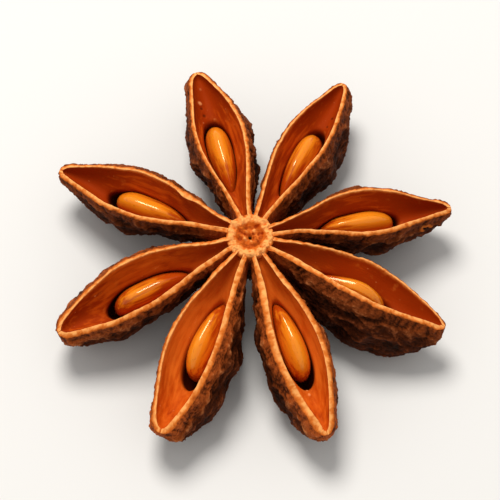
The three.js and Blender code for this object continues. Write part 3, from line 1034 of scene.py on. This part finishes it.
rough = stretch(tree, inside, 0.2, 0.8, BARK_ROUGH, SATIN_ROUGH)
rough = calc(tree, "MAXIMUM", rough, calc(tree, "MULTIPLY", rim, RIM_ROUGH))
tree.links.new(rough, shader.inputs["Roughness"])
fine_lines = grain_of(tree, straight, (1.8, 0.12, 0.12), detail=3.0)
relief = blend(tree, inside, speckle, fine_lines)
strength = stretch(tree, inside, 0.2, 0.8, BARK_BUMP, SATIN_BUMP)
sockets = {"Strength": strength, "Distance": BUMP_HEIGHT * MM, "Height": relief}
tree.links.new(add(tree, "ShaderNodeBump", sockets).outputs[0], shader.inputs["Normal"])
shader.inputs["Specular IOR Level"].default_value = 0.12
shader.inputs["Specular Tint"].default_value = (1.0, 0.5, 0.25, 1)
for piece in (*HUSKS, column):
    piece.data.materials.clear()
    piece.data.materials.append(husk_finish)
    print("husk on", piece.name)

# %% [markdown]
# ### The seed coat
# The coat is hard and polished, with streaks and flecks along it and a dull orange scar at its inner end. It
# is amber on the upper edge and a deeper orange-brown down its sides, as painted light from above and painted
# shade; it is also lighter towards the outer end, and each seed is lighter or darker, partly by its own
# colour and partly by painted light and shade. A painted picture could be laid on it, but noise stretched
# along the seed does as well. The polished surface gives the sharp highlight, a thin clear coat adds a
# little, and some light scatters under the surface.

# %% Seed colours
# The amber is the seed's painted lit upper edge, and the deep amber its painted shaded sides.
AMBER_LIT_TOP, AMBER_SHADED_SIDE, SEED_BROWN = (0.9, 0.265, 0.01, 1), (0.5, 0.064, 0.003, 1), (0.24, 0.032, 0.002, 1)
SCAR_TAN = (0.55, 0.13, 0.02, 1)

seed_finish, shader = new_finish("seed_coat")
tree = seed_finish.node_tree
straight = read(tree, "straight", "Vector")
places = add(tree, "ShaderNodeSeparateXYZ", {0: straight})
out, height = places.outputs["X"], places.outputs["Z"]
streaks = grain_of(tree, straight, (3.2, 0.25, 0.4), detail=3.0)
# Lighter higher up the seed, as painted light from above, varied by streaks, by each seed's own number and
# towards the outer end.
glow = calc(tree, "ADD", height, swing(tree, streaks, 5.0))
glow = calc(tree, "ADD", glow, read(tree, "glow"))
glow = calc(tree, "ADD", glow, stretch(tree, out, 5.5, 10.5, -0.8, 0.5))
coat = blend(tree, stretch(tree, glow, -2.7, -0.8), AMBER_SHADED_SIDE, AMBER_LIT_TOP)
flecks = grain_of(tree, straight, (0.6, 0.15, 0.2), detail=4.0)
coat = blend(tree, stretch(tree, flecks, 0.58, 0.78, 0.0, 0.5), coat, SEED_BROWN)
inner_end = SEED_OUT - SEED_HALF_LENGTH
coat = blend(tree, stretch(tree, out, inner_end + 0.5, inner_end + 0.25), coat, SCAR_TAN)
tree.links.new(coat, shader.inputs["Base Color"])
print("seed coat:", len(tree.nodes), "nodes")

# %% Gloss of the seeds
shader.inputs["Roughness"].default_value = 0.14
shader.inputs["Specular IOR Level"].default_value = 0.8
shader.inputs["Specular Tint"].default_value = (1.0, 0.72, 0.42, 1)
shader.inputs["Coat Weight"].default_value = 0.15
shader.inputs["Coat Roughness"].default_value = 0.07
shader.inputs["Subsurface Weight"].default_value = 0.12
shader.inputs["Subsurface Radius"].default_value = (1.0, 0.35, 0.1)
shader.inputs["Subsurface Scale"].default_value = 0.8 * MM
sockets = {"Strength": 0.5, "Distance": 0.03 * MM, "Height": streaks}
tree.links.new(add(tree, "ShaderNodeBump", sockets).outputs[0], shader.inputs["Normal"])
for piece in SEEDS:
    piece.data.materials.clear()
    piece.data.materials.append(seed_finish)
    print("seed coat on", piece.name)

# %% [markdown]
# ## Joining the frame
# Each piece rides on the pod's only body and stands for its solid: the husk pieces together for the pod,
# and each seed for its own. Everything is shaded smooth, since its form is in its fine mesh.

# %% Ride and replace
for piece in (*HUSKS, column, *SEEDS):
    select_only(piece)
    bpy.ops.object.shade_smooth()
    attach(piece, "root")
for piece in (*HUSKS, column):
    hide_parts("pod")
for number, piece in enumerate(SEEDS, start=1):
    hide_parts(f"seed_{number}")

# %% [markdown]
# ## Floor, light and camera
# The pod lies on a plain pale floor. One soft round light stands high up behind it, a little to the left, and
# an even pale sky fills the shade. A second lamp could fill it too, but would show as a second highlight on
# every seed. The camera looks down steeply through a long lens.

# %% Floor
bpy.ops.object.select_all(action="DESELECT")
bpy.ops.mesh.primitive_plane_add(size=2.0, location=(0, 0, 0))
floor = bpy.context.object
floor.name = "floor"
floor_finish, shader = new_finish("pale_floor")
shader.inputs["Base Color"].default_value = (0.82, 0.81, 0.79, 1)
shader.inputs["Roughness"].default_value = 0.9
floor.data.materials.append(floor_finish)

# %% Light
TARGET = Vector((0.0, 0.0, 5.5)) * MM  # what the light and the camera look at
KEY_PLACE, KEY_SIZE, KEY_POWER = (-0.05, 0.13, 0.32), 0.16, 1.0  # metres and watts
SKY_STRENGTH = 0.5

lamp = bpy.data.lights.new("key", "AREA")
lamp.shape, lamp.size, lamp.energy, lamp.color = "DISK", KEY_SIZE, KEY_POWER, (1.0, 0.97, 0.93)
key = bpy.data.objects.new("key", lamp)
key.location = KEY_PLACE
key.rotation_mode = "QUATERNION"
key.rotation_quaternion = (TARGET - key.location).to_track_quat("-Z", "Y")
bpy.context.scene.collection.objects.link(key)

world = bpy.data.worlds.new("studio")
world.use_nodes = True
sky = world.node_tree.nodes["Background"]
sky.inputs["Color"].default_value = (1.0, 0.99, 0.97, 1)
sky.inputs["Strength"].default_value = SKY_STRENGTH
bpy.context.scene.world = world
bpy.context.scene.view_settings.view_transform = "Standard"

# %% Camera
ELEVATION, DISTANCE, LENS = math.radians(66), 0.34, 300

lens = bpy.data.cameras.new("camera")
lens.lens, lens.clip_start, lens.clip_end = LENS, 0.01, 10
camera = bpy.data.objects.new("camera", lens)
back = Vector((0, -math.cos(ELEVATION), math.sin(ELEVATION)))
camera.location = TARGET + back * DISTANCE
camera.rotation_mode = "QUATERNION"
camera.rotation_quaternion = (-back).to_track_quat("-Z", "Y")
bpy.context.scene.collection.objects.link(camera)
bpy.context.scene.camera = camera
